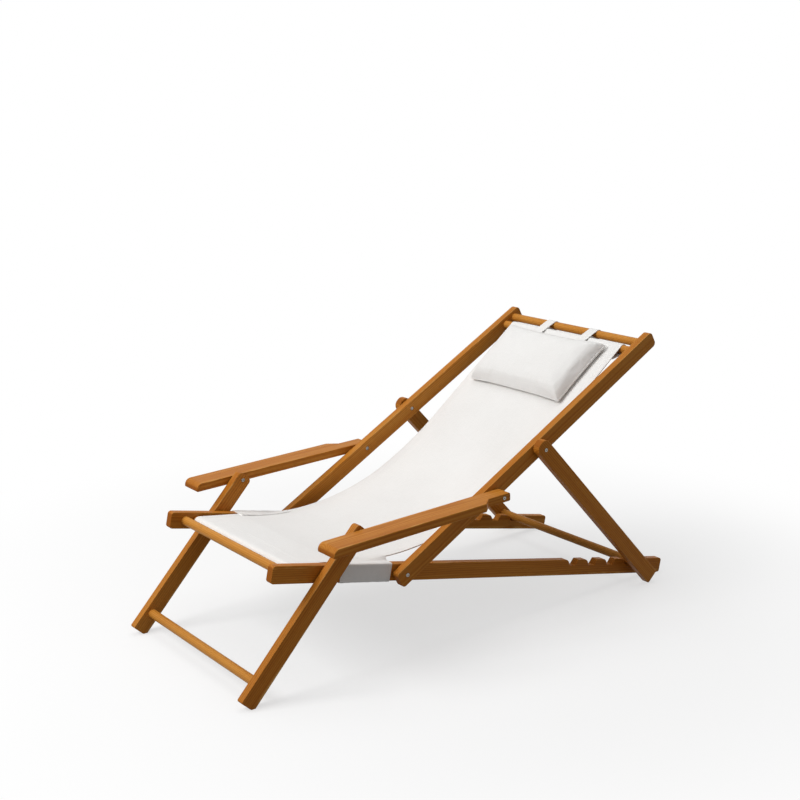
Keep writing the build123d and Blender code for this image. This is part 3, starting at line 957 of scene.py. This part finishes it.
def inflate(pad):
    cut = pillowCut
    remesh = pad.modifiers.new("remesh", "REMESH")
    remesh.mode = "VOXEL"
    remesh.voxel_size = cut["voxel"]
    applyModifiers(pad)
    start = pointsOf(pad.data)
    cloth = pad.modifiers.new("cloth", "CLOTH")
    cloth.settings.use_pressure = True
    cloth.settings.uniform_pressure_force = cut["pressure"]
    cloth.settings.effector_weights.gravity = 0
    cloth.settings.tension_stiffness = cut["stiffness"]
    cloth.settings.compression_stiffness = cut["stiffness"]
    cloth.settings.bending_stiffness = cut["bending"]
    cloth.point_cache.frame_end = cut["frames"]
    scene = bpy.context.scene
    for step in range(1, cut["frames"] + 1):
        scene.frame_set(step)
    depsgraph = bpy.context.evaluated_depsgraph_get()
    shift = pointsOf(pad.evaluated_get(depsgraph).data) - start
    pad.modifiers.clear()
    scene.frame_set(1)
    far = np.linalg.norm(shift, axis=1, keepdims=True)
    return start + shift * np.minimum(1, cut["cap"] / np.maximum(far, 1e-9))


def buildPillow():
    cut = pillowCut
    pad = startPad()
    points = inflate(pad)
    points[:, 2] = np.clip(points[:, 2], 0.0, None)
    points[:, 2] *= min(cut["mostStretch"], cut["height"] * cut["crown"] / points[:, 2].max())
    halfSize = np.array([cut["width"] / 2, cut["length"] / 2])
    points[:, :2] *= halfSize / np.abs(points[:, :2]).max(0)
    points[:, 0] *= 1 - cut["taper"] * (0.5 - points[:, 1] / cut["length"]) / halfSize[0]
    soft = np.array([crumple(cut["dimple"], p[0], p[1]) for p in points])
    points[:, 2] += soft * np.clip(points[:, 2] / cut["height"], 0, 1)
    pad.data.vertices.foreach_set("co", points.astype(np.float32).ravel())
    pad.data.update()
    smooth = pad.modifiers.new("smooth", "SMOOTH")
    smooth.factor = 0.5
    smooth.iterations = 3
    finer = pad.modifiers.new("finer", "SUBSURF")
    finer.levels = 1
    finer.render_levels = 1
    applyModifiers(pad)
    final = pointsOf(pad.data)
    final[:, 2] = np.clip(final[:, 2], 0.0, None)
    pad.data.vertices.foreach_set("co", final.astype(np.float32).ravel())
    place = pad.data.attributes.new("clothPlace", "FLOAT_VECTOR", "POINT")
    place.data.foreach_set("vector", final.astype(np.float32).ravel())
    smoothShading(pad, "pad")
    return pad, final


def seamLoop(points):       # the pad's outline at the height of its seam
    cut = pillowCut
    level = points[:, 2].max() * cut["seam"]
    near = points[np.abs(points[:, 2] - level) < cut["seamBand"]]
    turns = np.arctan2(near[:, 1] / cut["length"], near[:, 0] / cut["width"])
    loop, count = [], cut["seamSpots"]
    for i in range(count):
        turn = -math.pi + 2 * math.pi * (i + 0.5) / count
        close = near[np.abs(turns - turn) < cut["seamReach"] * math.pi / count]
        if not len(close):
            continue
        best = close[np.argmax(np.abs(close[:, 0]) / cut["width"] + np.abs(close[:, 1]) / cut["length"])]
        loop.append(Vector((best[0], best[1], level)))
    for _ in range(cut["seamRounds"]):
        loop = [(loop[i - 1] + loop[i] * 2 + loop[(i + 1) % len(loop)]) / 4 for i in range(len(loop))]
    return loop


def buildPiping(loop, radius, around=8):    # a closed cord along a loop of points
    verts, faces = [], []
    count = len(loop)
    for i in range(count):
        run = (loop[(i + 1) % count] - loop[i - 1]).normalized()
        across = run.cross(Vector((0, 0, 1))).normalized()
        rise = across.cross(run).normalized()
        for k in range(around):
            a = 2 * math.pi * k / around
            verts.append(loop[i] + (across * math.cos(a) + rise * math.sin(a)) * radius)
    for i in range(count):
        for k in range(around):
            a, b = i * around + k, i * around + (k + 1) % around
            c = ((i + 1) % count) * around
            faces.append((a, b, c + (k + 1) % around, c + k))
    cord = makePiece("pillow_piping", verts, faces, pillowCanvas, [tuple(v) for v in verts])
    smoothShading(cord, "pad")
    return cord


pillow, padPoints = buildPillow()
piping = buildPiping(seamLoop(padPoints), pillowCut["pipe"])
for piece in (pillow, piping):
    piece.data.transform(pillowFrame)
print("pillow filled:", len(pillow.data.polygons), "faces")


# straps: a tape from the pillow's low upper edge, round the top dowel and back to itself

strapCut = {
    "width": 0.036,
    "columns": (-0.5, -0.47, -0.36, -0.2, 0.0, 0.2, 0.36, 0.47, 0.5),   # shares of the width
    "spread": 0.095,
    "thick": 0.0015,
    "wrapRadius": 0.0142,
    "rootUp": 0.0099,           # above the pillow's underside
    "sewnAt": 0.030,            # from the dowel to where the tape is sewn to itself
    "sewnGap": 1.2,             # thicknesses between the middles of both layers there
    "sewnTail": 0.006,
    "bury": 0.004,              # of the tape's root in the pillow's edge
    "sag": (30.0, 1.0, 0.0006, 0.0),
    "sagApart": 10.0,           # how far apart the two tapes lie in the noise
    "sagUp": 0.6,
    "sagAside": 0.4,
    "step": 0.003,
    "roundStep": 0.0024,
}
topDowel = middleOf("top_dowel").yz


def tapeAngle(point, side):     # where a tape from a point first meets its path round the dowel
    away = point - topDowel
    swing = math.acos(strapCut["wrapRadius"] / away.length)
    return math.degrees(math.atan2(away.y, away.x) + side * swing)


def strapLine():
    cut = strapCut
    level, step, wrap = cut["rootUp"], cut["step"], cut["wrapRadius"]
    beside = np.abs(np.abs(padPoints[:, 0]) - cut["spread"]) < cut["width"] / 2
    edge = padPoints[beside & (np.abs(padPoints[:, 2] - level) < 2 * step)]
    root = pillowMiddle + pillowRun * (edge[:, 1].max() - cut["bury"]) + pillowUp * level
    first = tapeAngle(root, -1)
    upper = topDowel + turned(first, wrap)
    back = (root - upper).normalized()
    under = Vector((-back.y, back.x)) * cut["thick"] * cut["sewnGap"]
    sewn = upper + back * cut["sewnAt"] + under
    last = tapeAngle(sewn, 1)
    tail = sewn + back * cut["sewnTail"]
    points = straight(root, upper, step)
    points += bend(topDowel, wrap, first, last - 360, cut["roundStep"])
    points += straight(topDowel + turned(last, wrap), sewn, step)
    return points + straight(sewn, tail, step) + [tail]


def buildStrap(name, middleX):
    cut = strapCut
    path = strapLine()
    outward = uprights(path)
    run = lengths(path)
    edges = cut["columns"]

    def place(r, c):
        sag = crumple(cut["sag"], run[r], middleX * cut["sagApart"] + edges[c])
        spot = path[r] + outward[r] * (abs(sag) * cut["sagUp"])
        x = middleX + edges[c] * cut["width"] + sag * cut["sagAside"]
        return Vector((x, spot.x, spot.y)), Vector((0, outward[r].x, outward[r].y)), 1.0

    verts, faces = clothGrid(len(path), len(edges), place, cut["thick"])
    places = [(middleX + e * cut["width"], s, 0.0) for s in run for e in edges] * 2
    strap = makePiece(name, verts, faces, pillowCanvas, places)
    smoothShading(strap, "cloth")

    verts, faces = [], []
    for col in (1, len(edges) - 2):
        stitchLine(verts, faces, [place(r, col) for r in range(len(path))], cut["thick"])
    stitches = makePiece(name + "_stitching", verts, faces, thread)
    smoothShading(stitches, "thread")
    return strap, stitches, run[-1]


straps = {}
for side, sign in sides.items():
    straps[side] = buildStrap(f"pillow_tape_{side}", sign * strapCut["spread"] + pillowCut["aside"])
print("straps looped over the top dowel")


# what each piece rides on and stands for

turnStart = railPoint(sleeveCut["rear"], slingCut["seatUp"] + slingRise(sleeveCut["rear"]))
turnEnd = backPoint(slingCut["turnAlong"], slingCut["turnUp"])
for piece in (sling, slingStitching):
    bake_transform(piece)
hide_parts("sling_seat", "sling_back")
for side, (sleeve, stitches, around) in sleeves.items():
    for piece in (sleeve, stitches):
        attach(piece, "base_frame")
    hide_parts(f"sling_tab_{side}")
for piece in (pillow, piping):
    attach(piece, "headrest")
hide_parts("pillow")
for side, (strap, stitches, around) in straps.items():
    for piece in (strap, stitches):
        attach(piece, "headrest")
    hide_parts(f"pillow_strap_{side}")
for target in nodes.values():
    smoothShading(target, "solid")
print("pieces joined to their bodies")


# floor, light and camera

studio = {
    "floorSize": 60.0,
    "floorColour": (0.90, 0.90, 0.90),
    "floorSoil": (0.86, 0.86, 0.86),
    "floorClouds": 1.5,                     # a metre
    "floorBounce": (0.30, 0.30, 0.30),      # what the object's own light sees of the floor
    "floorGlow": 0.62,                      # share of plain white in the floor beside the object
    "glowFrom": 0.7,                        # metres from the middle, where the floor turns to white
    "glowTo": 1.9,
    "worldStrength": 0.32,
    "backdrop": 1.0,
    "keyEnergy": 150.0,
    "keyPlace": (-0.9, -3.5, 3.6),
    "keySize": 2.4,
    "topEnergy": 46.0,
    "topPlace": (-0.4, 0.3, 4.2),
    "topSize": 3.0,
    "aim": (0.0, 0.0, 0.35),
}
view = {
    "place": (2.93809, -2.31609, 1.54018),
    "azimuth": 52.439,
    "elevation": 13.653,
    "lens": 59.07,
    "sensor": 36.0,
}


def buildFloor():
    half = studio["floorSize"] / 2
    corners = [(-half, -half, 0), (half, -half, 0), (half, half, 0), (-half, half, 0)]
    floor = Finish("paleFloor")
    place = floor.coords()
    tint = floor.clouds(place, studio["floorClouds"])
    colour = floor.blendColours(tint, studio["floorColour"], studio["floorSoil"])
    floor.wear(Base_Color=colour, Roughness=0.9, Specular_IOR_Level=0.1)
    reach = floor.node("ShaderNodeVectorMath", {"operation": "LENGTH"}, [place], "Value")
    away = floor.band(reach, studio["glowFrom"], studio["glowTo"])
    white = away * (1 - studio["floorGlow"]) + studio["floorGlow"]
    glow = floor.node("ShaderNodeEmission", None, {"Color": (1.0, 1.0, 1.0), "Strength": 1.0})
    pale = floor.node("ShaderNodeMixShader", None, [white, Field(floor, floor.shader.outputs[0]), glow])
    bounce = floor.node("ShaderNodeBsdfDiffuse", None, {"Color": studio["floorBounce"]})
    whole = floor.node("ShaderNodeMixShader", None, [floor.seen(), bounce, pale])
    floor.feed(floor.tree.nodes["Material Output"].inputs["Surface"], whole)
    plane = makePiece("studio_floor", corners, [(0, 1, 2, 3)], floor.material)


def buildWorld():
    sky = Finish("studioWorld", "worlds", "Background")
    glow = sky.seen() * (studio["backdrop"] - studio["worldStrength"]) + studio["worldStrength"]
    bpy.context.scene.world = sky.wear(Color=(1.0, 1.0, 1.0), Strength=glow)


def addLamp(name, place, energy, size):
    lamp = bpy.data.lights.new(name, "AREA")
    lamp.energy = energy
    lamp.size = size
    holder = bpy.data.objects.new(name, lamp)
    holder.location = place
    aim = Vector(studio["aim"]) - Vector(place)
    holder.rotation_euler = aim.to_track_quat("-Z", "Y").to_euler()
    bpy.context.scene.collection.objects.link(holder)


def addCamera():
    data = bpy.data.cameras.new("photoView")
    data.sensor_width = view["sensor"]
    data.lens = view["lens"]
    camera = bpy.data.objects.new("photoView", data)
    az, el = math.radians(view["azimuth"]), math.radians(view["elevation"])
    towards = Vector((-math.sin(az) * math.cos(el), math.cos(az) * math.cos(el), -math.sin(el)))
    camera.location = view["place"]
    camera.rotation_euler = towards.to_track_quat("-Z", "Y").to_euler()
    bpy.context.scene.collection.objects.link(camera)
    bpy.context.scene.camera = camera


buildFloor()
buildWorld()
addLamp("keyLamp", studio["keyPlace"], studio["keyEnergy"], studio["keySize"])
addLamp("topLamp", studio["topPlace"], studio["topEnergy"], studio["topSize"])
addCamera()
bpy.context.scene.view_settings.view_transform = "Standard"
print("studio set")
